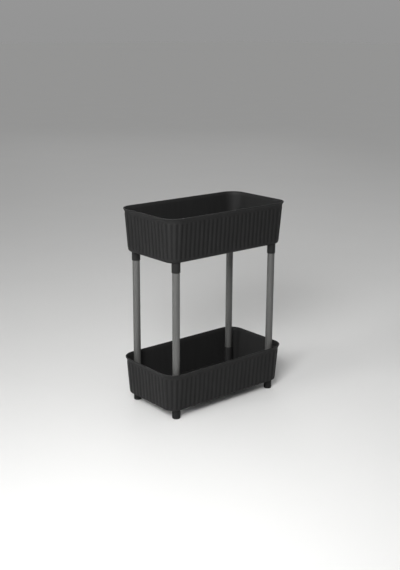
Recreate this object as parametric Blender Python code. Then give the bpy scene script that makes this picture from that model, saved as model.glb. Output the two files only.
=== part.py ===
"""Two-tier organizer shelf: two ribbed trays on four push-fit posts, standing on four feet.

Metres, +Z up. The origin is on the floor under the middle of the shelf, X runs along the long
side and Y along the depth. Both trays are moulded: each wall is lofted through rings that
follow one rounded rectangle, with the ribs as a wave round it, and the collars, sockets and
stubs are turned and joined to the tray.
"""

from math import cos, pi, sin

import bmesh
import bpy
from mathutils import Vector

# Trays, seen from above
RIM_LENGTH = 0.463
RIM_DEPTH = 0.253
RIM_CORNER_RADIUS = 0.047

# Heights, from the floor up
FOOT_SPACE = 0.030
LOWER_TRAY_HEIGHT = 0.116
TIER_SPACE = 0.328
UPPER_TRAY_HEIGHT = 0.130

# Tray walls, with the lean of a wall as a share of its height
WALL = 0.0022
TRAY_FLOOR = 0.0025
DRAFT_SHARE = 0.077
FLARE = 0.0043
FLARE_HEIGHT = 0.013
LIP_EDGE = 0.0025
LIP_ROUND = 0.0007
LOWER_EDGE_RADIUS = 0.003
UPPER_EDGE_RADIUS = 0.009

# Ribs: how far a rib stands out, how it fades at both ends, and how many there are
RIB_DEPTH = 0.0015
RIB_FADE = 0.005
UPPER_RIBS_PER_LENGTH = 23
LOWER_RIBS_PER_LENGTH = 22
RIBS_PER_DEPTH = 10
RIBS_PER_CORNER = 4

# Posts, measured in from the rim's ends and sides
POST_DIAMETER = 0.022
POST_WALL = 0.0015
POST_END_INSET = 0.044
POST_SIDE_INSET = 0.032

# What holds the posts, with the clearance of every push fit
FIT_GAP = 0.0003
COLLAR_LENGTH = 0.030
COLLAR_WALL = 0.0012
SOCKET_HEIGHT = 0.055
SOCKET_WALL = 0.0018
SOCKET_TAPER = 0.0003
MOUTH_CHAMFER = 0.0005
SEAT = 0.0015

# Feet
FOOT_DIAMETER = 0.0242
FOOT_HEIGHT = 0.027
FOOT_WALL = 0.0025
FOOT_BASE = 0.003
FOOT_EDGE_RADIUS = 0.003
STUB_WALL = 0.002

# How finely curves are cut
TURN_STEPS = 24
EDGE_STEPS = 3
FLARE_STEPS = 4
MERGE_DISTANCE = 0.000001

# Heights and places that follow from the sizes above
LOWER_TRAY_Z = FOOT_SPACE
UPPER_TRAY_Z = LOWER_TRAY_Z + LOWER_TRAY_HEIGHT + TIER_SPACE
POST_X = RIM_LENGTH / 2 - POST_END_INSET
POST_Y = RIM_DEPTH / 2 - POST_SIDE_INSET
CORNERS = {"front_left": (-1, -1), "front_right": (1, -1), "rear_left": (-1, 1), "rear_right": (1, 1)}
POST_RADIUS = POST_DIAMETER / 2
BORE_RADIUS = POST_RADIUS + FIT_GAP
POST_SEAT_Z = LOWER_TRAY_Z + TRAY_FLOOR + SEAT
POST_TOP_Z = UPPER_TRAY_Z - SEAT


def material(name, colour, roughness):
    """A plain plastic."""
    made = bpy.data.materials.new(name)
    made.use_nodes = True
    shader = made.node_tree.nodes["Principled BSDF"]
    shader.inputs["Base Color"].default_value = (*colour, 1)
    shader.inputs["Roughness"].default_value = roughness
    shader.inputs["Metallic"].default_value = 0
    return made


def add_object(name, shape, finish):
    """Turns a bmesh into an object, smooth but for its sharp edges."""
    bmesh.ops.recalc_face_normals(shape, faces=shape.faces)
    mesh = bpy.data.meshes.new(name)
    shape.to_mesh(mesh)
    shape.free()
    mesh.shade_smooth()
    mesh.set_sharp_from_angle(angle=pi / 6)
    mesh.materials.append(finish)
    made = bpy.data.objects.new(name, mesh)
    bpy.context.scene.collection.objects.link(made)
    return made


def add_empty(name, parent, height):
    """A frame for the pieces that lift together."""
    made = bpy.data.objects.new(name, None)
    bpy.context.scene.collection.objects.link(made)
    made.parent = parent
    made.location.z = height
    return made


def quarter(radius, steps):
    """Across and up, from the start of a quarter round to its end."""
    turns = [pi / 2 * step / steps for step in range(steps + 1)]
    return [(radius * sin(turn), radius * (1 - cos(turn))) for turn in turns]


def wall_sections(ribs_per_length):
    """The four sides and four corners round a tray, as (start, end, normals, ribs)."""
    core_x = RIM_LENGTH / 2 - RIM_CORNER_RADIUS
    core_y = RIM_DEPTH / 2 - RIM_CORNER_RADIUS
    corners = [Vector((core_x * x, core_y * y)) for x, y in ((-1, -1), (1, -1), (1, 1), (-1, 1))]
    ribs = [ribs_per_length, RIBS_PER_DEPTH] * 2
    sections = []
    for side in range(4):
        start, end = corners[side], corners[(side + 1) % 4]
        facing = pi / 2 * (side - 1)
        sections.append((start, end, (facing, facing), ribs[side]))
        sections.append((end, end, (facing, facing + pi / 2), RIBS_PER_CORNER))
    return sections


def stations(sections, kind):
    """Where a ring has its points, as (section + share of it, stand-out share).

    A plain ring only has points at corners, a fade ring has two to each rib, and a ribbed
    ring has four, two on the crest and two in the groove.
    """
    found = []
    for number, (start, end, _, ribs) in enumerate(sections):
        if kind == "plain" and start != end:
            found.append((number, 0))
        elif kind == "ribbed":
            for point in range(4 * ribs):
                crest = point % 4 in (1, 2)
                found.append((number + (point + 0.5) / (4 * ribs), 0.5 if crest else -0.5))
        else:
            found += [(number + point / (2 * ribs), 0) for point in range(2 * ribs)]
    return found


def add_ring(shape, sections, kind, inset, height):
    """One ring of a tray, as (station, point) pairs, set in from the rim's outline."""
    ring = []
    for station, stand_out in stations(sections, kind):
        start, end, normals, _ = sections[int(station)]
        share = station - int(station)
        turn = normals[0] + (normals[1] - normals[0]) * share
        out = RIM_CORNER_RADIUS - inset + RIB_DEPTH * stand_out
        place = start.lerp(end, share) + Vector((cos(turn), sin(turn))) * out
        ring.append((station, shape.verts.new((place.x, place.y, height))))
    return ring


def join_rings(shape, below, above):
    """Closes the band between two rings, whose points need not match."""
    lap = 8
    below = below + [(below[0][0] + lap, below[0][1])]
    above = above + [(above[0][0] + lap, above[0][1])]
    low = high = 0
    while low < len(below) - 1 or high < len(above) - 1:
        next_low = below[low + 1][0] if low < len(below) - 1 else 2 * lap
        next_high = above[high + 1][0] if high < len(above) - 1 else 2 * lap
        corners = [below[low][1]]
        if next_low <= next_high:
            low += 1
            corners.append(below[low][1])
        if next_high <= next_low:
            high += 1
            corners += [above[high][1], above[high - 1][1]]
        else:
            corners.append(above[high][1])
        shape.faces.new(corners)


def tray_rings(height, edge_radius):
    """A tray's rings as (kind, inset, height), up the outside, over the lip, down the inside."""
    flare_z = height - FLARE_HEIGHT
    wall_foot = FLARE + DRAFT_SHARE * (flare_z - edge_radius)
    lean = DRAFT_SHARE * RIB_FADE
    rings = []
    for across, up in quarter(edge_radius, EDGE_STEPS)[:-1]:
        rings.append(("plain", wall_foot + edge_radius - across, up))
    rings.append(("fade", wall_foot, edge_radius))
    rings.append(("ribbed", wall_foot - lean, edge_radius + RIB_FADE))
    rings.append(("ribbed", FLARE + lean, flare_z - RIB_FADE))
    rings.append(("fade", FLARE, flare_z))
    for step in range(1, FLARE_STEPS + 1):
        share = step / FLARE_STEPS
        rings.append(("plain", FLARE * (1 - share**2), flare_z + share * (FLARE_HEIGHT - LIP_EDGE)))
    rings.append(("plain", 0, height - LIP_ROUND))
    rings.append(("plain", LIP_ROUND, height))
    for step in range(FLARE_STEPS, -1, -1):
        share = step / FLARE_STEPS
        rings.append(("plain", WALL + FLARE * (1 - share**2), flare_z + share * FLARE_HEIGHT))
    inner_radius = edge_radius - WALL
    for across, up in reversed(quarter(inner_radius, EDGE_STEPS)):
        rings.append(("plain", WALL + wall_foot + inner_radius - across, TRAY_FLOOR + up))
    return rings


def tray(name, height, edge_radius, ribs_per_length, finish):
    """A moulded tray, lofted from the middle of its underside to the middle of its floor."""
    shape = bmesh.new()
    sections = wall_sections(ribs_per_length)
    rings = [add_ring(shape, sections, *ring) for ring in tray_rings(height, edge_radius)]
    for below, above in zip(rings, rings[1:]):
        join_rings(shape, below, above)
    shape.faces.new([point for _, point in reversed(rings[0])])
    shape.faces.new([point for _, point in rings[-1]])
    return add_object(name, shape, finish)


def turn(shape, profile, centre=(0, 0)):
    """Turns a profile of (radius, height) points about an upright axis, and closes it."""
    x, y = centre
    points = [shape.verts.new((x + radius, y, height)) for radius, height in profile]
    edges = [shape.edges.new(pair) for pair in zip(points, points[1:])]
    if profile[0][0] > 0:
        edges.append(shape.edges.new((points[-1], points[0])))
    bmesh.ops.spin(
        shape,
        geom=points + edges,
        cent=(x, y, 0),
        axis=(0, 0, 1),
        angle=2 * pi,
        steps=TURN_STEPS,
        use_merge=True,
    )
    bmesh.ops.remove_doubles(shape, verts=shape.verts, dist=MERGE_DISTANCE)


def add_to_tray(target, name, profile):
    """Joins the same turned shape to a tray at its four posts."""
    shape = bmesh.new()
    for x, y in CORNERS.values():
        turn(shape, profile, (x * POST_X, y * POST_Y))
    moulded = add_object(name, shape, target.data.materials[0])
    moulded.parent = target
    moulded.hide_render = True
    moulded.display_type = "WIRE"
    join = target.modifiers.new(name, "BOOLEAN")
    join.operation = "UNION"
    join.solver = "EXACT"
    join.object = moulded


def collar_profile():
    """A collar under the upper tray: a blind bore for the top of a post."""
    mouth = BORE_RADIUS + COLLAR_WALL
    return [
        (0, -SEAT),
        (BORE_RADIUS, -SEAT),
        (BORE_RADIUS, -COLLAR_LENGTH),
        (mouth - MOUTH_CHAMFER, -COLLAR_LENGTH),
        (mouth, MOUTH_CHAMFER - COLLAR_LENGTH),
        (mouth + SOCKET_TAPER, 0),
        (mouth + SOCKET_TAPER, TRAY_FLOOR / 2),
        (0, TRAY_FLOOR / 2),
    ]


def socket_profile():
    """A socket on the lower tray's floor, with the hollow stub of a foot below it."""
    stub = FOOT_DIAMETER / 2 - FOOT_WALL - FIT_GAP
    stub_end = FOOT_BASE + FIT_GAP - LOWER_TRAY_Z
    mouth = BORE_RADIUS + SOCKET_WALL
    root = mouth + SOCKET_TAPER
    top = TRAY_FLOOR + SOCKET_HEIGHT
    seat = TRAY_FLOOR + SEAT
    return [
        (0, TRAY_FLOOR / 2),
        (stub - STUB_WALL, TRAY_FLOOR / 2),
        (stub - STUB_WALL, stub_end),
        (stub, stub_end),
        (stub, TRAY_FLOOR / 2),
        (root, TRAY_FLOOR / 2),
        (root, TRAY_FLOOR),
        (mouth, top - MOUTH_CHAMFER),
        (mouth - MOUTH_CHAMFER, top),
        (BORE_RADIUS, top),
        (BORE_RADIUS, seat),
        (0, seat),
    ]


def post_profile():
    """A tube from the lower tray's seat to the upper tray's, with the end clearances."""
    start = FIT_GAP
    end = POST_TOP_Z - POST_SEAT_Z - FIT_GAP
    inside = POST_RADIUS - POST_WALL
    return [(inside, start), (POST_RADIUS, start), (POST_RADIUS, end), (inside, end)]


def foot_profile():
    """A cap with a rounded bottom edge, which sleeves over the stub."""
    radius = FOOT_DIAMETER / 2
    inside = radius - FOOT_WALL
    edge = quarter(FOOT_EDGE_RADIUS, EDGE_STEPS)
    return [
        (0, 0),
        *[(radius - FOOT_EDGE_RADIUS + across, up) for across, up in edge],
        (radius, FOOT_HEIGHT - MOUTH_CHAMFER),
        (radius - MOUTH_CHAMFER, FOOT_HEIGHT),
        (inside, FOOT_HEIGHT),
        (inside, FOOT_BASE),
        (0, FOOT_BASE),
    ]


def at_corners(prefix, profile, finish, parent):
    """One turned piece at each corner, all four with the same mesh."""
    shape = bmesh.new()
    turn(shape, profile)
    first = add_object(f"{prefix}_{next(iter(CORNERS))}", shape, finish)
    for corner, (x, y) in CORNERS.items():
        piece = first
        if corner != next(iter(CORNERS)):
            piece = bpy.data.objects.new(f"{prefix}_{corner}", first.data)
            bpy.context.scene.collection.objects.link(piece)
        piece.parent = parent
        piece.location = (x * POST_X, y * POST_Y, 0)


def build():
    """The shelf: what stands on the floor, the posts that lift out of it, and the upper tray."""
    for old in list(bpy.data.objects):
        bpy.data.objects.remove(old)
    charcoal = material("charcoal_plastic", (0.032, 0.032, 0.033), 0.5)
    grey = material("grey_plastic", (0.16, 0.16, 0.158), 0.42)
    soft_black = material("foot_plastic", (0.02, 0.02, 0.021), 0.6)

    base = add_empty("shelf_base", None, 0)
    posts = add_empty("posts_lift", base, POST_SEAT_Z)
    top = add_empty("upper_tray_lift", posts, UPPER_TRAY_Z - POST_SEAT_Z)

    lower = tray("lower_tray", LOWER_TRAY_HEIGHT, LOWER_EDGE_RADIUS, LOWER_RIBS_PER_LENGTH, charcoal)
    lower.parent = base
    lower.location.z = LOWER_TRAY_Z
    add_to_tray(lower, "lower_tray_sockets", socket_profile())
    at_corners("foot", foot_profile(), soft_black, base)

    at_corners("post", post_profile(), grey, posts)

    upper = tray("upper_tray", UPPER_TRAY_HEIGHT, UPPER_EDGE_RADIUS, UPPER_RIBS_PER_LENGTH, charcoal)
    upper.parent = top
    add_to_tray(upper, "upper_tray_collars", collar_profile())


build()
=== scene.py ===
from math import cos, pi, radians, sin, tan

import bmesh
import bpy
from mathutils import Matrix, Quaternion, Vector
from mathutils.geometry import delaunay_2d_cdt


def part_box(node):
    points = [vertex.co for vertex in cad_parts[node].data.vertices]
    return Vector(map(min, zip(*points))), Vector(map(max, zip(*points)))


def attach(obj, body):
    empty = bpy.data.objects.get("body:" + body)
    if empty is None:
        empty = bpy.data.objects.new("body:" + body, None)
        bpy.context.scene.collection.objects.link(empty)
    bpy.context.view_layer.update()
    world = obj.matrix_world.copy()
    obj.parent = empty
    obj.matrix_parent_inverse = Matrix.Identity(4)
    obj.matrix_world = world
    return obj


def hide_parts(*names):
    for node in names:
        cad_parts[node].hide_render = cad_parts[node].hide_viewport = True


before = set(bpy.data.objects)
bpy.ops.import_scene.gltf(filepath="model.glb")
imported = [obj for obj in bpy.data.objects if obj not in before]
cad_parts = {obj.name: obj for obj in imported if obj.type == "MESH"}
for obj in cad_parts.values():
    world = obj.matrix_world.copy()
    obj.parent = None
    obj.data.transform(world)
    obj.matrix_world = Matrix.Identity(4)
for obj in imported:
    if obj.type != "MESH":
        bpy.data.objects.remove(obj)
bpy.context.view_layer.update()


# Feet
# Four push-on caps of soft black polyethylene, injection moulded with a rounded sole. Each is
# pushed over the hollow stub under the lower tray and stays there by its own grip.

FOOT_RADIUS = 0.0121
FOOT_BORE = 0.0096
FOOT_BASE = 0.003
FOOT_TOP = 0.027
SOLE_ROUND = 0.0027
SOLE_DISH = 0.0006
MOUTH_ROUND = 0.0005
ROUND_STEPS = 4
TURN_STEPS = 64
SHARP_ANGLE = radians(50)
PLASTIC_IOR = 1.49
FOOT_COLOUR = "#181818"
FOOT_ROUGHNESS = 0.56
FOOT_GLOSS = 0.15
FOOT_GRAIN = 0.0005
FOOT_RELIEF = 0.25
FINE_RELIEF = 0.0001
DULL_PATCH = 0.004
DULL_ROUGHNESS = 0.68
# Noise up to the first value is no patch, and from the second on a full one
PATCH_LOW, PATCH_HIGH = 0.35, 0.7
DUST_COLOUR = "#2a2a29"
DUST_HEIGHT = 0.008
DUST_SHARE = 0.5
# A Mix node's colour sockets share their names with others, so they go by their places
MIX_A, MIX_B, MIXED = 6, 7, 2


def linear(colour):
    """Turns an sRGB hex colour to linear values, with the constants of the sRGB standard."""
    shares = [int(colour[place:place + 2], 16) / 255 for place in (1, 3, 5)]
    return [*(v / 12.92 if v <= 0.04045 else ((v + 0.055) / 1.055) ** 2.4 for v in shares), 1]


def add_node(tree, kind, inputs=None, **settings):
    """Adds a node. An input is set to a value, or linked to another node's output."""
    node = tree.nodes.new(kind)
    for name, value in settings.items():
        setattr(node, name, value)
    for socket, value in (inputs or {}).items():
        if isinstance(value, bpy.types.NodeSocket):
            tree.links.new(value, node.inputs[socket])
        else:
            node.inputs[socket].default_value = value
    return node


def new_finish(name):
    """A new plastic or paint, with its node tree, its shader and the place on the object."""
    finish = bpy.data.materials.new(name)
    finish.use_nodes = True
    tree = finish.node_tree
    shader = tree.nodes["Principled BSDF"]
    shader.inputs["IOR"].default_value = PLASTIC_IOR
    return finish, tree, shader, add_node(tree, "ShaderNodeTexCoord").outputs["Object"]


def softened(corners):
    """A profile through (radius, height, round) corners, each cut to an arc of its round."""
    points = [Vector(corners[0][:2])]
    for before, here, after in zip(corners, corners[1:], corners[2:]):
        place, size = Vector(here[:2]), here[2]
        back = (Vector(before[:2]) - place).normalized()
        on = (Vector(after[:2]) - place).normalized()
        if size == 0:
            points.append(place)
            continue
        half = back.angle(on) / 2
        centre = place + (back + on).normalized() * size / sin(half)
        arm = place + back * size / tan(half) - centre
        sweep = (pi - 2 * half) * (1 if back.x * on.y - back.y * on.x < 0 else -1)
        for step in range(ROUND_STEPS + 1):
            points.append(centre + Matrix.Rotation(sweep * step / ROUND_STEPS, 2) @ arm)
    return points + [Vector(corners[-1][:2])]


def turn(shape, profile, centre, closed=False):
    """Turns a profile about an upright axis. A point on the axis closes the shape there."""
    rings = []
    for radius, height in profile:
        ring = []
        for step in range(TURN_STEPS if radius > 0 else 1):
            angle = 2 * pi * step / TURN_STEPS
            across = centre[0] + radius * cos(angle), centre[1] + radius * sin(angle)
            ring.append(shape.verts.new((*across, height)))
        rings.append(ring)
    bands = list(zip(rings, rings[1:])) + ([(rings[-1], rings[0])] if closed else [])
    for low, high in bands:
        for step in range(TURN_STEPS):
            following = (step + 1) % TURN_STEPS
            around = [low[step % len(low)], low[following % len(low)]]
            around += [high[following % len(high)], high[step % len(high)]]
            # A band that ends on the axis is made of triangles: there, two corners are one
            shape.faces.new(dict.fromkeys(around))


def add_piece(name, shape, plastic, body, node):
    """A finished piece at the origin, with its place in its mesh, standing for one CAD node."""
    bmesh.ops.recalc_face_normals(shape, faces=shape.faces)
    mesh = bpy.data.meshes.new(name)
    shape.to_mesh(mesh)
    shape.free()
    mesh.shade_smooth()
    mesh.set_sharp_from_angle(angle=SHARP_ANGLE)
    mesh.materials.clear()
    mesh.materials.append(plastic)
    piece = bpy.data.objects.new(name, mesh)
    bpy.context.scene.collection.objects.link(piece)
    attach(piece, body)
    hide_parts(node)


def soft_polyethylene():
    """Soft moulded polyethylene: dull black with a fine grain, and dusty close to the floor."""
    plastic, tree, shader, place = new_finish("soft_black_polyethylene")
    shader.inputs["Specular IOR Level"].default_value = FOOT_GLOSS
    # Patches of about 4 mm are duller all over a foot, and dusty in its lowest 8 mm alone
    height = add_node(tree, "ShaderNodeSeparateXYZ", {0: place}).outputs["Z"]
    low_down = {"Value": height, "From Min": DUST_HEIGHT, "From Max": 0, "To Max": DUST_SHARE}
    low_down = add_node(tree, "ShaderNodeMapRange", low_down).outputs[0]
    patches = {"Vector": place, "Scale": 1 / DULL_PATCH}
    patches = add_node(tree, "ShaderNodeTexNoise", patches).outputs[0]
    patches = {"Value": patches, "From Min": PATCH_LOW, "From Max": PATCH_HIGH}
    patches = add_node(tree, "ShaderNodeMapRange", patches).outputs[0]
    dust = {0: low_down, 1: patches}
    dust = add_node(tree, "ShaderNodeMath", dust, operation="MULTIPLY").outputs[0]
    tones = {"Factor": dust, MIX_A: linear(FOOT_COLOUR), MIX_B: linear(DUST_COLOUR)}
    toned = add_node(tree, "ShaderNodeMix", tones, data_type="RGBA").outputs[MIXED]
    tree.links.new(toned, shader.inputs["Base Color"])
    rough = {"Value": patches, "To Min": FOOT_ROUGHNESS, "To Max": DULL_ROUGHNESS}
    rough = add_node(tree, "ShaderNodeMapRange", rough).outputs[0]
    tree.links.new(rough, shader.inputs["Roughness"])
    # The real grain is about 0.2 mm, drawn at 0.5 mm so that it shows in a near view
    grain = {"Vector": place, "Scale": 1 / FOOT_GRAIN}
    grain = add_node(tree, "ShaderNodeTexNoise", grain).outputs[0]
    relief = {"Strength": FOOT_RELIEF, "Distance": FINE_RELIEF, "Height": grain}
    relief = add_node(tree, "ShaderNodeBump", relief).outputs[0]
    tree.links.new(relief, shader.inputs["Normal"])
    return plastic


foot_plastic = soft_polyethylene()
foot_profile = softened([
    (0, SOLE_DISH, 0),
    (FOOT_RADIUS - SOLE_ROUND - 2 * SOLE_DISH, SOLE_DISH, SOLE_DISH),
    (FOOT_RADIUS - SOLE_ROUND - SOLE_DISH, 0, SOLE_DISH / 2),
    (FOOT_RADIUS, 0, SOLE_ROUND),
    (FOOT_RADIUS, FOOT_TOP, MOUTH_ROUND),
    (FOOT_BORE, FOOT_TOP, MOUTH_ROUND),
    (FOOT_BORE, FOOT_BASE, MOUTH_ROUND),
    (0, FOOT_BASE, 0),
])
for node in sorted(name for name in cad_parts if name.startswith("foot_")):
    low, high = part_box(node)
    shape = bmesh.new()
    turn(shape, foot_profile, (low + high) / 2)
    add_piece(node + "_cap", shape, foot_plastic, "base", node)


# Lower tray
# One injection moulding in charcoal polypropylene: a ribbed, leaning wall with a flared rim, and
# on its floor four sockets that take the posts, over the four hollow stubs for the feet.

RIM_X, RIM_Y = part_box("lower_tray")[1].xy
# The signs of a rectangle's corners, against the clock from the front left
CORNER_SIGNS = ((-1, -1), (1, -1), (1, 1), (-1, 1))
CORNER_RADIUS = 0.047
WALL = 0.0022
TRAY_FLOOR = 0.0025
FLAT_TOLERANCE = WALL / 10
LEAN = 0.077
FLARE = 0.0043
FLARE_HEIGHT = 0.013
FLARE_STEPS = 8
EDGE_STEPS = 6
LIP_EDGE = 0.0025
LIP_ROUND = 0.0007
RIB_DEPTH = 0.0015
RIB_FADE = 0.006
FADE_STEPS = 6
RIBS_PER_DEPTH = 10
RIBS_PER_CORNER = 4
POINTS_PER_RIB = 8
# A rib's wave goes from this at its crest to minus this in its groove
CREST = 0.5
LOWER_TRAY_Z = 0.030
LOWER_TRAY_HEIGHT = 0.116
LOWER_EDGE_ROUND = 0.003
LOWER_RIBS_PER_LENGTH = 22
POST_BORE = 0.0113
SEAT = 0.0015
MOULD_TAPER = 0.0003
SOCKET_WALL = 0.0018
SOCKET_HEIGHT = 0.055
SOCKET_FILLET = 0.002
STUB_RADIUS = 0.0093
STUB_WALL = 0.002
STUB_FILLET = 0.001
# The share of a fillet that its arc takes, which leaves a short straight before the flat
FILLET_ARC = 0.9
CHARCOAL = "#202020"
TRAY_ROUGHNESS = 0.54
TRAY_GLOSS = 0.12
TRAY_GRAIN = 0.0006
TRAY_RELIEF = 0.3
CHARCOAL_FLOW = "#232323"
FLOW_WIDTH = 0.012
FLOW_LENGTH = 0.08
# Painted shade: the colour the grooves are darkened towards, and how far
CHARCOAL_PAINTED_SHADE = "#101010"
GROOVE_PAINTED_SHADE = 0.8
GROOVE_START = 0.1
GROOVE_ROUGHER = 0.06
CHARCOAL_WORN = "#242424"
HANDLED_PATCH = 0.03
HANDLED_ROUGHNESS = 0.48
LIP_ROUGHER = 0.06
# Nearly all noise is between these values, which are stretched to none and full
NOISE_LOW, NOISE_HIGH = 0.3, 0.7


def ribbed_wall_tree():
    """Sweeps a wall's profile round the rim, then presses the ribs into the outside."""
    tree = bpy.data.node_groups.new("ribbed_wall", "GeometryNodeTree")
    inputs = {
        "Rim": "Geometry",
        "Profile": "Object",
        "Rib depth": "Float",
        "Points per rib": "Int",
        "Material": "Material",
    }
    for name, kind in inputs.items():
        tree.interface.new_socket(name, in_out="INPUT", socket_type="NodeSocket" + kind)
    tree.interface.new_socket("Wall", in_out="OUTPUT", socket_type="NodeSocketGeometry")
    given = add_node(tree, "NodeGroupInput").outputs

    # Each point of the rim knows how many ribs come before it, and which way is out
    index = add_node(tree, "GeometryNodeInputIndex").outputs[0]
    count = {0: index, 1: given["Points per rib"]}
    count = add_node(tree, "ShaderNodeMath", count, operation="DIVIDE").outputs[0]
    along = add_node(tree, "GeometryNodeInputTangent").outputs[0]
    out = {0: along, 1: (0, 0, 1)}
    out = add_node(tree, "ShaderNodeVectorMath", out, operation="CROSS_PRODUCT").outputs[0]
    kept = {"Geometry": given["Rim"], "Name": "rib_count", "Value": count}
    rim = add_node(tree, "GeometryNodeStoreNamedAttribute", kept).outputs[0]
    kept = {"Geometry": rim, "Name": "out", "Value": out}
    rim = add_node(tree, "GeometryNodeStoreNamedAttribute", kept, data_type="FLOAT_VECTOR")

    section = add_node(tree, "GeometryNodeObjectInfo", {"Object": given["Profile"]})
    section = {"Mesh": section.outputs["Geometry"]}
    section = add_node(tree, "GeometryNodeMeshToCurve", section).outputs["Curve"]
    swept = {"Curve": rim.outputs[0], "Profile Curve": section}
    wall = add_node(tree, "GeometryNodeCurveToMesh", swept).outputs["Mesh"]

    # A rib is one wave: the groove is at a whole count, and the crest half way to the next
    count = add_node(tree, "GeometryNodeInputNamedAttribute", {"Name": "rib_count"}).outputs[0]
    share = add_node(tree, "GeometryNodeInputNamedAttribute", {"Name": "rib_share"}).outputs[0]
    out = add_node(
        tree, "GeometryNodeInputNamedAttribute", {"Name": "out"}, data_type="FLOAT_VECTOR"
    ).outputs[0]
    angle = {0: count, 1: 2 * pi}
    angle = add_node(tree, "ShaderNodeMath", angle, operation="MULTIPLY").outputs[0]
    wave = add_node(tree, "ShaderNodeMath", {0: angle}, operation="COSINE").outputs[0]
    crest = {0: wave, 1: -CREST}
    crest = add_node(tree, "ShaderNodeMath", crest, operation="MULTIPLY").outputs[0]
    crest = {0: crest, 1: share}
    crest = add_node(tree, "ShaderNodeMath", crest, operation="MULTIPLY").outputs[0]
    kept = {"Geometry": wall, "Name": "rib_crest", "Value": crest}
    wall = add_node(tree, "GeometryNodeStoreNamedAttribute", kept).outputs[0]
    reach = {0: crest, 1: given["Rib depth"]}
    reach = add_node(tree, "ShaderNodeMath", reach, operation="MULTIPLY").outputs[0]
    move = {0: out, "Scale": reach}
    move = add_node(tree, "ShaderNodeVectorMath", move, operation="SCALE").outputs[0]
    moved = {"Geometry": wall, "Offset": move}
    wall = add_node(tree, "GeometryNodeSetPosition", moved).outputs[0]
    wall = add_node(tree, "GeometryNodeRealizeInstances", {"Geometry": wall}).outputs[0]
    coated = {"Geometry": wall, "Material": given["Material"]}
    wall = add_node(tree, "GeometryNodeSetMaterial", coated).outputs[0]
    add_node(tree, "NodeGroupOutput", {0: wall})
    return tree


def rim_curve(ribs_per_length):
    """The rim seen from above, against the clock, with the same number of points to every rib."""
    core_x, core_y = RIM_X - CORNER_RADIUS, RIM_Y - CORNER_RADIUS
    corners = [Vector((core_x * x, core_y * y, 0)) for x, y in CORNER_SIGNS]
    points = []
    for side, start in enumerate(corners):
        end = corners[(side + 1) % len(corners)]
        facing = pi / 2 * (side - 1)
        ribs = RIBS_PER_DEPTH if side % 2 else ribs_per_length
        straight, bend = (start, end, 0, ribs), (end, end, pi / 2, RIBS_PER_CORNER)
        for first, last, sweep, count in (straight, bend):
            for step in range(count * POINTS_PER_RIB):
                share = step / (count * POINTS_PER_RIB)
                out = facing + sweep * share
                reach = Vector((cos(out), sin(out), 0)) * CORNER_RADIUS
                points.append(first.lerp(last, share) + reach)
    curve = bpy.data.curves.new("rim", "CURVE")
    curve.dimensions = "3D"
    spline = curve.splines.new("POLY")
    spline.points.add(len(points) - 1)
    for target, point in zip(spline.points, points):
        target.co = (*point, 1)
    spline.use_cyclic_u = True
    return bpy.data.objects.new("rim", curve)


def wall_profile(height, edge_round):
    """A wall's section as an edge mesh, from the underside, over the lip, to the floor."""
    flare_z = height - FLARE_HEIGHT
    foot = FLARE + LEAN * (flare_z - edge_round)
    inner = edge_round - WALL
    turns = [pi / 2 / EDGE_STEPS * step for step in range(EDGE_STEPS + 1)]
    faded = [RIB_FADE * step / FADE_STEPS for step in range(FADE_STEPS + 1)]
    shares = [step / FLARE_STEPS for step in range(FLARE_STEPS)]

    outside = [
        (foot + edge_round * (1 - sin(turned)), edge_round * (1 - cos(turned)))
        for turned in turns[:-1]
    ]
    outside += [(foot - LEAN * up, edge_round + up) for up in faded]
    outside += [(FLARE + LEAN * down, flare_z - down) for down in reversed(faded[1:])]
    outside += [
        (FLARE * (1 - share**2), flare_z + share * (FLARE_HEIGHT - LIP_EDGE))
        for share in shares
    ]
    inside = [
        (WALL + FLARE * (1 - share**2), flare_z + share * FLARE_HEIGHT)
        for share in reversed(shares)
    ]
    inside += [
        (WALL + foot + inner * (1 - sin(turned)), TRAY_FLOOR + inner * (1 - cos(turned)))
        for turned in reversed(turns)
    ]
    lip = softened([
        (0, height - LIP_EDGE, 0),
        (0, height, LIP_ROUND),
        (WALL, height, LIP_ROUND),
        (*inside[0], 0),
    ])
    lip = [tuple(point) for point in lip[:-1]]

    rib_shares = []
    for _, z in outside:
        # Over the fade at either end a rib goes smoothly from nothing to its full depth
        rise = min(max((z - edge_round) / RIB_FADE, 0), max((flare_z - z) / RIB_FADE, 0), 1)
        rib_shares.append(rise * rise * (3 - 2 * rise))
    points = outside + lip + inside
    rib_shares += [0] * (len(points) - len(outside))
    wear = [0] * len(outside) + [1] * len(lip) + [0] * len(inside)
    mesh = bpy.data.meshes.new("wall_profile")
    edges = [(number, number + 1) for number in range(len(points) - 1)]
    mesh.from_pydata([(-inset, -z, 0) for inset, z in points], edges, [])
    for name, values in (("rib_share", rib_shares), ("lip_wear", wear)):
        mesh.attributes.new(name, "FLOAT", "POINT").data.foreach_set("value", values)
    return bpy.data.objects.new("wall_profile", mesh)


def ribbed_wall(height, edge_round, ribs_per_length):
    """The wall of a tray as an open shape that stands on the height 0."""
    rim, profile = rim_curve(ribs_per_length), wall_profile(height, edge_round)
    for helper in (rim, profile):
        bpy.context.scene.collection.objects.link(helper)
    ribbing = rim.modifiers.new("ribbing", "NODES")
    ribbing.node_group = ribbed_wall_nodes
    values = {
        "Profile": profile,
        "Rib depth": RIB_DEPTH,
        "Points per rib": POINTS_PER_RIB,
        "Material": tray_plastic,
    }
    for item in ribbed_wall_nodes.interface.items_tree:
        if item.name in values:
            ribbing[item.identifier] = values[item.name]
    depsgraph = bpy.context.evaluated_depsgraph_get()
    wall = bpy.data.meshes.new_from_object(rim.evaluated_get(depsgraph), depsgraph=depsgraph)
    rim.modifiers.remove(ribbing)
    for helper in (rim, profile):
        bpy.data.objects.remove(helper)
    shape = bmesh.new()
    shape.from_mesh(wall)
    return shape


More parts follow.
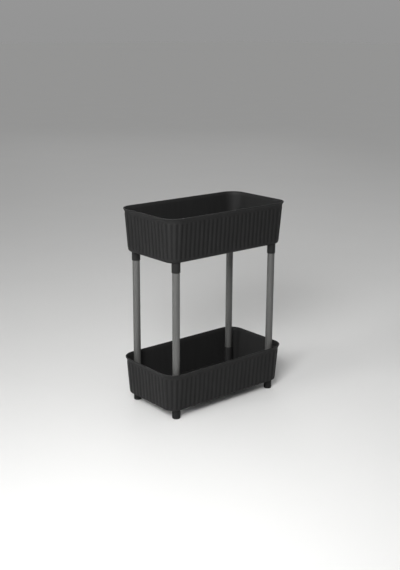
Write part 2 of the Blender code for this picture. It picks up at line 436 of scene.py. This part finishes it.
def close_flat(shape, level):
    """Fills a flat between its open edges at one height, and leaves its holes open."""
    inside_outline, merge_distance = 1, 0
    pairs = [tuple(edge.verts) for edge in shape.edges if edge.is_boundary]
    pairs = [
        pair for pair in pairs if all(abs(point.co.z - level) < FLAT_TOLERANCE for point in pair)
    ]
    points = list(dict.fromkeys(point for pair in pairs for point in pair))
    number = {point: place for place, point in enumerate(points)}
    edges = [(number[first], number[last]) for first, last in pairs]
    places = [point.co.xy for point in points]
    filled = delaunay_2d_cdt(places, edges, [], inside_outline, merge_distance)
    _, _, triangles, sources, *_ = filled
    for triangle in triangles:
        corners = [points[sources[corner][0]] for corner in triangle]
        x, y, _ = sum((corner.co for corner in corners), Vector()) / len(corners)
        # An odd number of edges to the right of a triangle means that it isn't in a hole
        beside = [(a.co, b.co) for a, b in pairs if (a.co.y > y) != (b.co.y > y)]
        beside = [a.x + (y - a.y) / (b.y - a.y) * (b.x - a.x) > x for a, b in beside]
        if sum(beside) % 2:
            shape.faces.new(corners)


def add_tray(name, shape, base_z, body, node):
    """Stands a closed tray at its height and adds it."""
    bmesh.ops.translate(shape, verts=shape.verts, vec=(0, 0, base_z))
    add_piece(name, shape, tray_plastic, body, node)


def charcoal_polypropylene():
    """Moulded polypropylene: matte charcoal, with a fine grain, painted shade in the grooves and
    a worn lip.
    """
    plastic, tree, shader, place = new_finish("charcoal_polypropylene")
    shader.inputs["Specular IOR Level"].default_value = TRAY_GLOSS
    # Melt flow leaves faint upright drifts of tone, each about 12 mm wide and 80 mm tall
    flow = {"Vector": place, "Scale": (1 / FLOW_WIDTH, 1 / FLOW_WIDTH, 1 / FLOW_LENGTH)}
    flow = add_node(tree, "ShaderNodeMapping", flow).outputs[0]
    flow = add_node(tree, "ShaderNodeTexNoise", {"Vector": flow, "Scale": 1}).outputs[0]
    flow = {"Value": flow, "From Min": NOISE_LOW, "From Max": NOISE_HIGH}
    flow = add_node(tree, "ShaderNodeMapRange", flow).outputs[0]
    tones = {"Factor": flow, MIX_A: linear(CHARCOAL), MIX_B: linear(CHARCOAL_FLOW)}
    toned = add_node(tree, "ShaderNodeMix", tones, data_type="RGBA").outputs[MIXED]
    # Painted shade: each groove is darkened between its crests, standing in for the shade in it
    crest = add_node(tree, "ShaderNodeAttribute", attribute_name="rib_crest").outputs["Fac"]
    groove = {"Value": crest, "From Min": GROOVE_START, "From Max": -CREST}
    groove = add_node(tree, "ShaderNodeMapRange", groove).outputs[0]
    shaded = {0: groove, 1: GROOVE_PAINTED_SHADE}
    shaded = add_node(tree, "ShaderNodeMath", shaded, operation="MULTIPLY").outputs[0]
    tones = {"Factor": shaded, MIX_A: toned, MIX_B: linear(CHARCOAL_PAINTED_SHADE)}
    toned = add_node(tree, "ShaderNodeMix", tones, data_type="RGBA").outputs[MIXED]
    # Hands rub the lip a little lighter, in patches of about 30 mm, and the mould parts along it
    handled = {"Vector": place, "Scale": 1 / HANDLED_PATCH}
    handled = add_node(tree, "ShaderNodeTexNoise", handled).outputs[0]
    handled = {"Value": handled, "From Min": NOISE_LOW, "From Max": NOISE_HIGH}
    handled = add_node(tree, "ShaderNodeMapRange", handled).outputs[0]
    lip = add_node(tree, "ShaderNodeAttribute", attribute_name="lip_wear").outputs["Fac"]
    rubbed = {0: lip, 1: handled}
    rubbed = add_node(tree, "ShaderNodeMath", rubbed, operation="MULTIPLY").outputs[0]
    tones = {"Factor": rubbed, MIX_A: toned, MIX_B: linear(CHARCOAL_WORN)}
    toned = add_node(tree, "ShaderNodeMix", tones, data_type="RGBA").outputs[MIXED]
    tree.links.new(toned, shader.inputs["Base Color"])
    # Handled patches are smoother all over the tray, the grooves and the lip rougher
    rough = {"Value": handled, "To Min": TRAY_ROUGHNESS, "To Max": HANDLED_ROUGHNESS}
    rough = add_node(tree, "ShaderNodeMapRange", rough).outputs[0]
    for where, rougher in ((groove, GROOVE_ROUGHER), (lip, LIP_ROUGHER)):
        rough = {0: where, 1: rougher, 2: rough}
        rough = add_node(tree, "ShaderNodeMath", rough, operation="MULTIPLY_ADD").outputs[0]
    tree.links.new(rough, shader.inputs["Roughness"])
    # The mould's grain is about 0.15 mm, drawn at 0.6 mm so that it shows in a near view
    grain = {"Vector": place, "Scale": 1 / TRAY_GRAIN}
    grain = add_node(tree, "ShaderNodeTexNoise", grain).outputs[0]
    relief = {"Strength": TRAY_RELIEF, "Distance": FINE_RELIEF, "Height": grain}
    relief = add_node(tree, "ShaderNodeBump", relief).outputs[0]
    tree.links.new(relief, shader.inputs["Normal"])
    return plastic


tray_plastic = charcoal_polypropylene()
ribbed_wall_nodes = ribbed_wall_tree()
post_nodes = sorted(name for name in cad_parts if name.startswith("post_"))
post_centres = [sum(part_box(node), Vector()) / 2 for node in post_nodes]

socket_root = POST_BORE + SOCKET_WALL + MOULD_TAPER
socket_top = TRAY_FLOOR + SOCKET_HEIGHT
socket_profile = softened([
    (socket_root + SOCKET_FILLET, TRAY_FLOOR, 0),
    (socket_root, TRAY_FLOOR, SOCKET_FILLET * FILLET_ARC),
    (POST_BORE + SOCKET_WALL, socket_top, MOUTH_ROUND),
    (POST_BORE, socket_top, MOUTH_ROUND),
    (POST_BORE, TRAY_FLOOR + SEAT, 0),
    (0, TRAY_FLOOR + SEAT, 0),
])
stub_end = FOOT_BASE + MOULD_TAPER - LOWER_TRAY_Z
stub_profile = softened([
    (STUB_RADIUS + STUB_FILLET, 0, 0),
    (STUB_RADIUS, 0, STUB_FILLET * FILLET_ARC),
    (STUB_RADIUS, stub_end, MOUTH_ROUND),
    (STUB_RADIUS - STUB_WALL, stub_end, MOUTH_ROUND),
    (STUB_RADIUS - STUB_WALL, TRAY_FLOOR / 2, MOUTH_ROUND),
    (0, TRAY_FLOOR / 2, 0),
])
shape = ribbed_wall(LOWER_TRAY_HEIGHT, LOWER_EDGE_ROUND, LOWER_RIBS_PER_LENGTH)
for centre in post_centres:
    turn(shape, stub_profile, centre)
    turn(shape, socket_profile, centre)
close_flat(shape, 0)
close_flat(shape, TRAY_FLOOR)
add_tray("lower_tray_moulding", shape, LOWER_TRAY_Z, "base", "lower_tray")


# Posts
# Four straight tubes of satin grey polypropylene, extruded and cut to length. Each is pushed
# down into a socket of the lower tray and up into a collar of the upper one.

POST_RADIUS = 0.011
POST_WALL = 0.0015
CUT_ROUND = 0.0004
GREY = "#494948"
POST_ROUGHNESS = 0.38
GREY_STREAK = "#4d4d4c"
STREAK_WIDTH = 0.0016
STREAK_LENGTH = 0.08
STREAK_ROUGHNESS = 0.44
GREY_SCUFF = "#585857"
SCUFF_WIDTH = 0.003
SCUFF_LENGTH = 0.012
SCUFF_DETAIL = 4
SCUFF_LOW, SCUFF_HIGH = 0.66, 0.74
SCUFF_SHARE = 0.4
SCUFF_ROUGHER = 0.2
CLOUD_SIZE = 0.04
CLOUD_ROUGHER = 0.08
DRAW_LINE_WIDTH = 0.0008
DRAW_LINE_LENGTH = 0.08
DRAW_LINE_RELIEF = 0.15


def extruded_polypropylene():
    """Extruded tube: satin grey, with faint draw lines along it and a few fine scuffs."""
    plastic, tree, shader, place = new_finish("satin_grey_polypropylene")
    # The die leaves faint streaks of tone along the tube, a millimetre or two wide
    streaks = (1 / STREAK_WIDTH, 1 / STREAK_WIDTH, 1 / STREAK_LENGTH)
    streaks = add_node(tree, "ShaderNodeMapping", {"Vector": place, "Scale": streaks}).outputs[0]
    streaks = add_node(tree, "ShaderNodeTexNoise", {"Vector": streaks, "Scale": 1}).outputs[0]
    streaks = {"Value": streaks, "From Min": NOISE_LOW, "From Max": NOISE_HIGH}
    streaks = add_node(tree, "ShaderNodeMapRange", streaks).outputs[0]
    tones = {"Factor": streaks, MIX_A: linear(GREY), MIX_B: linear(GREY_STREAK)}
    toned = add_node(tree, "ShaderNodeMix", tones, data_type="RGBA").outputs[MIXED]
    # Scuffs from pushing the tubes in and out are a few millimetres wide and thinly spread
    scuffs = (1 / SCUFF_WIDTH, 1 / SCUFF_WIDTH, 1 / SCUFF_LENGTH)
    scuffs = add_node(tree, "ShaderNodeMapping", {"Vector": place, "Scale": scuffs}).outputs[0]
    scuffs = {"Vector": scuffs, "Scale": 1, "Detail": SCUFF_DETAIL}
    scuffs = add_node(tree, "ShaderNodeTexNoise", scuffs).outputs[0]
    scuffs = {
        "Value": scuffs, "From Min": SCUFF_LOW, "From Max": SCUFF_HIGH, "To Max": SCUFF_SHARE
    }
    scuffs = add_node(tree, "ShaderNodeMapRange", scuffs).outputs[0]
    tones = {"Factor": scuffs, MIX_A: toned, MIX_B: linear(GREY_SCUFF)}
    toned = add_node(tree, "ShaderNodeMix", tones, data_type="RGBA").outputs[MIXED]
    tree.links.new(toned, shader.inputs["Base Color"])
    # Handling leaves the gloss uneven in clouds of about 40 mm, and a scuff is rougher still
    clouds = add_node(tree, "ShaderNodeTexNoise", {"Vector": place, "Scale": 1 / CLOUD_SIZE})
    rough = {"Value": streaks, "To Min": POST_ROUGHNESS, "To Max": STREAK_ROUGHNESS}
    rough = add_node(tree, "ShaderNodeMapRange", rough).outputs[0]
    for where, rougher in ((clouds.outputs[0], CLOUD_ROUGHER), (scuffs, SCUFF_ROUGHER)):
        rough = {0: where, 1: rougher, 2: rough}
        rough = add_node(tree, "ShaderNodeMath", rough, operation="MULTIPLY_ADD").outputs[0]
    tree.links.new(rough, shader.inputs["Roughness"])
    # Draw lines are about 0.2 mm apart, drawn at 0.8 mm so that they show in a near view
    lines = (1 / DRAW_LINE_WIDTH, 1 / DRAW_LINE_WIDTH, 1 / DRAW_LINE_LENGTH)
    lines = add_node(tree, "ShaderNodeMapping", {"Vector": place, "Scale": lines}).outputs[0]
    lines = add_node(tree, "ShaderNodeTexNoise", {"Vector": lines, "Scale": 1}).outputs[0]
    relief = {"Strength": DRAW_LINE_RELIEF, "Distance": FINE_RELIEF, "Height": lines}
    relief = add_node(tree, "ShaderNodeBump", relief).outputs[0]
    tree.links.new(relief, shader.inputs["Normal"])
    return plastic


post_plastic = extruded_polypropylene()
for node in post_nodes:
    low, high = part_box(node)
    tube = softened([
        (POST_RADIUS - POST_WALL / 2, low.z, 0),
        (POST_RADIUS, low.z, CUT_ROUND),
        (POST_RADIUS, high.z, CUT_ROUND),
        (POST_RADIUS - POST_WALL, high.z, CUT_ROUND),
        (POST_RADIUS - POST_WALL, low.z, CUT_ROUND),
        (POST_RADIUS - POST_WALL / 2, low.z, 0),
    ])
    shape = bmesh.new()
    turn(shape, tube[:-1], (low + high) / 2, closed=True)
    add_piece(node + "_tube", shape, post_plastic, "posts", node)


# Upper tray
# The same moulding in charcoal polypropylene, but deeper, and with a blind collar under each
# corner that slides down over the top of a post.

UPPER_TRAY_Z = 0.474
UPPER_TRAY_HEIGHT = 0.130
UPPER_EDGE_ROUND = 0.009
UPPER_RIBS_PER_LENGTH = 23
COLLAR_LENGTH = 0.030
COLLAR_WALL = 0.0012
BORE_ROUND = 0.0003


def united(shape, added):
    """Joins two closed shapes that cross each other into one skin."""
    helpers = []
    for part in (shape, added):
        bmesh.ops.recalc_face_normals(part, faces=part.faces)
        mesh = bpy.data.meshes.new("united")
        part.to_mesh(mesh)
        part.free()
        helpers.append(bpy.data.objects.new("united", mesh))
        bpy.context.scene.collection.objects.link(helpers[-1])
    kept, joined = helpers
    join = kept.modifiers.new("join", "BOOLEAN")
    join.operation = "UNION"
    join.solver = "EXACT"
    join.object = joined
    depsgraph = bpy.context.evaluated_depsgraph_get()
    mesh = bpy.data.meshes.new_from_object(kept.evaluated_get(depsgraph), depsgraph=depsgraph)
    for helper in helpers:
        bpy.data.objects.remove(helper)
    made = bmesh.new()
    made.from_mesh(mesh)
    return made


# The outer side of a collar passes over the tray's rounded edge, so its root is inside the wall
collar_root = POST_BORE + COLLAR_WALL + MOULD_TAPER
collar_profile = softened([
    (0, -SEAT, 0),
    (POST_BORE, -SEAT, 0),
    (POST_BORE, -COLLAR_LENGTH, BORE_ROUND),
    (POST_BORE + COLLAR_WALL, -COLLAR_LENGTH, MOUTH_ROUND),
    (collar_root, TRAY_FLOOR / 2, 0),
    (0, TRAY_FLOOR / 2, 0),
])
shape = ribbed_wall(UPPER_TRAY_HEIGHT, UPPER_EDGE_ROUND, UPPER_RIBS_PER_LENGTH)
close_flat(shape, 0)
close_flat(shape, TRAY_FLOOR)
collars = bmesh.new()
for centre in post_centres:
    turn(collars, collar_profile, centre)
add_tray("upper_tray_moulding", united(shape, collars), UPPER_TRAY_Z, "upper", "upper_tray")


# Studio
# A plain pale floor, soft light from large lamps, and the camera where the photograph was taken.

FLOOR_REACH = 60.0
FLOOR_COLOUR = "#dcdcdb"
FLOOR_CLOUD = "#dfdfde"
FLOOR_CLOUD_SIZE = 0.4
FLOOR_ROUGHNESS = 0.85
FLOOR_GLOSS = 0.2
SKY_HORIZON = "#9c9c9c"
SKY_ZENITH = "#bcbcbc"
SKY_STRENGTH = 0.9
LAMP_AIM = Vector((0, 0, 0.3))
# Each lamp's place, its side in metres, its power in watts and its spread in degrees
LAMPS = {
    "key": ((-1.6, -1.25, 1.5), 0.8, 26.4, 120),
    "left": ((-9.0, 0.9, 2.6), 4.0, 22.0, 30),
    "rear": ((5.9, 8.1, 2.8), 3.4, 6.0, 26),
}
CAMERA_TARGET = Vector((0.3060, 0.3813, 0.2155))
CAMERA_AZIMUTH = radians(-40.36)
CAMERA_HEIGHT = radians(15.778)
CAMERA_ROLL = radians(0.348)
CAMERA_DISTANCE = 3.2829
CAMERA_LENS = 57.465
CAMERA_SENSOR = 36.0

scene = bpy.context.scene
scene.view_settings.view_transform = "Standard"

floor_mesh = bpy.data.meshes.new("floor")
floor_corners = [(x * FLOOR_REACH, y * FLOOR_REACH, 0) for x, y in CORNER_SIGNS]
floor_mesh.from_pydata(floor_corners, [], [(0, 1, 2, 3)])
floor = bpy.data.objects.new("floor", floor_mesh)
scene.collection.objects.link(floor)
floor_paint, tree, shader, place = new_finish("pale_floor")
shader.inputs["Roughness"].default_value = FLOOR_ROUGHNESS
shader.inputs["Specular IOR Level"].default_value = FLOOR_GLOSS
clouds = {"Vector": place, "Scale": 1 / FLOOR_CLOUD_SIZE}
clouds = add_node(tree, "ShaderNodeTexNoise", clouds).outputs[0]
tones = {"Factor": clouds, MIX_A: linear(FLOOR_COLOUR), MIX_B: linear(FLOOR_CLOUD)}
toned = add_node(tree, "ShaderNodeMix", tones, data_type="RGBA").outputs[MIXED]
tree.links.new(toned, shader.inputs["Base Color"])
floor_mesh.materials.append(floor_paint)

sky = bpy.data.worlds.new("studio")
sky.use_nodes = True
scene.world = sky
tree = sky.node_tree
direction = add_node(tree, "ShaderNodeTexCoord").outputs["Generated"]
upward = add_node(tree, "ShaderNodeSeparateXYZ", {0: direction}).outputs["Z"]
tones = {"Factor": upward, MIX_A: linear(SKY_HORIZON), MIX_B: linear(SKY_ZENITH)}
toned = add_node(tree, "ShaderNodeMix", tones, data_type="RGBA").outputs[MIXED]
background = tree.nodes["Background"]
tree.links.new(toned, background.inputs["Color"])
background.inputs["Strength"].default_value = SKY_STRENGTH

for name, (place, side, power, spread) in LAMPS.items():
    lamp = bpy.data.lights.new(name, "AREA")
    lamp.size = side
    lamp.energy = power
    lamp.spread = radians(spread)
    holder = bpy.data.objects.new(name, lamp)
    holder.location = place
    holder.rotation_euler = (Vector(place) - LAMP_AIM).to_track_quat("Z", "Y").to_euler()
    holder.visible_camera = False
    scene.collection.objects.link(holder)

back = Vector((
    sin(CAMERA_AZIMUTH) * cos(CAMERA_HEIGHT),
    -cos(CAMERA_AZIMUTH) * cos(CAMERA_HEIGHT),
    sin(CAMERA_HEIGHT),
))
lens = bpy.data.cameras.new("camera")
lens.sensor_width = CAMERA_SENSOR
lens.lens = CAMERA_LENS
camera = bpy.data.objects.new("camera", lens)
camera.location = CAMERA_TARGET + back * CAMERA_DISTANCE
camera.rotation_mode = "QUATERNION"
camera.rotation_quaternion = back.to_track_quat("Z", "Y") @ Quaternion((0, 0, 1), CAMERA_ROLL)
scene.collection.objects.link(camera)
scene.camera = camera
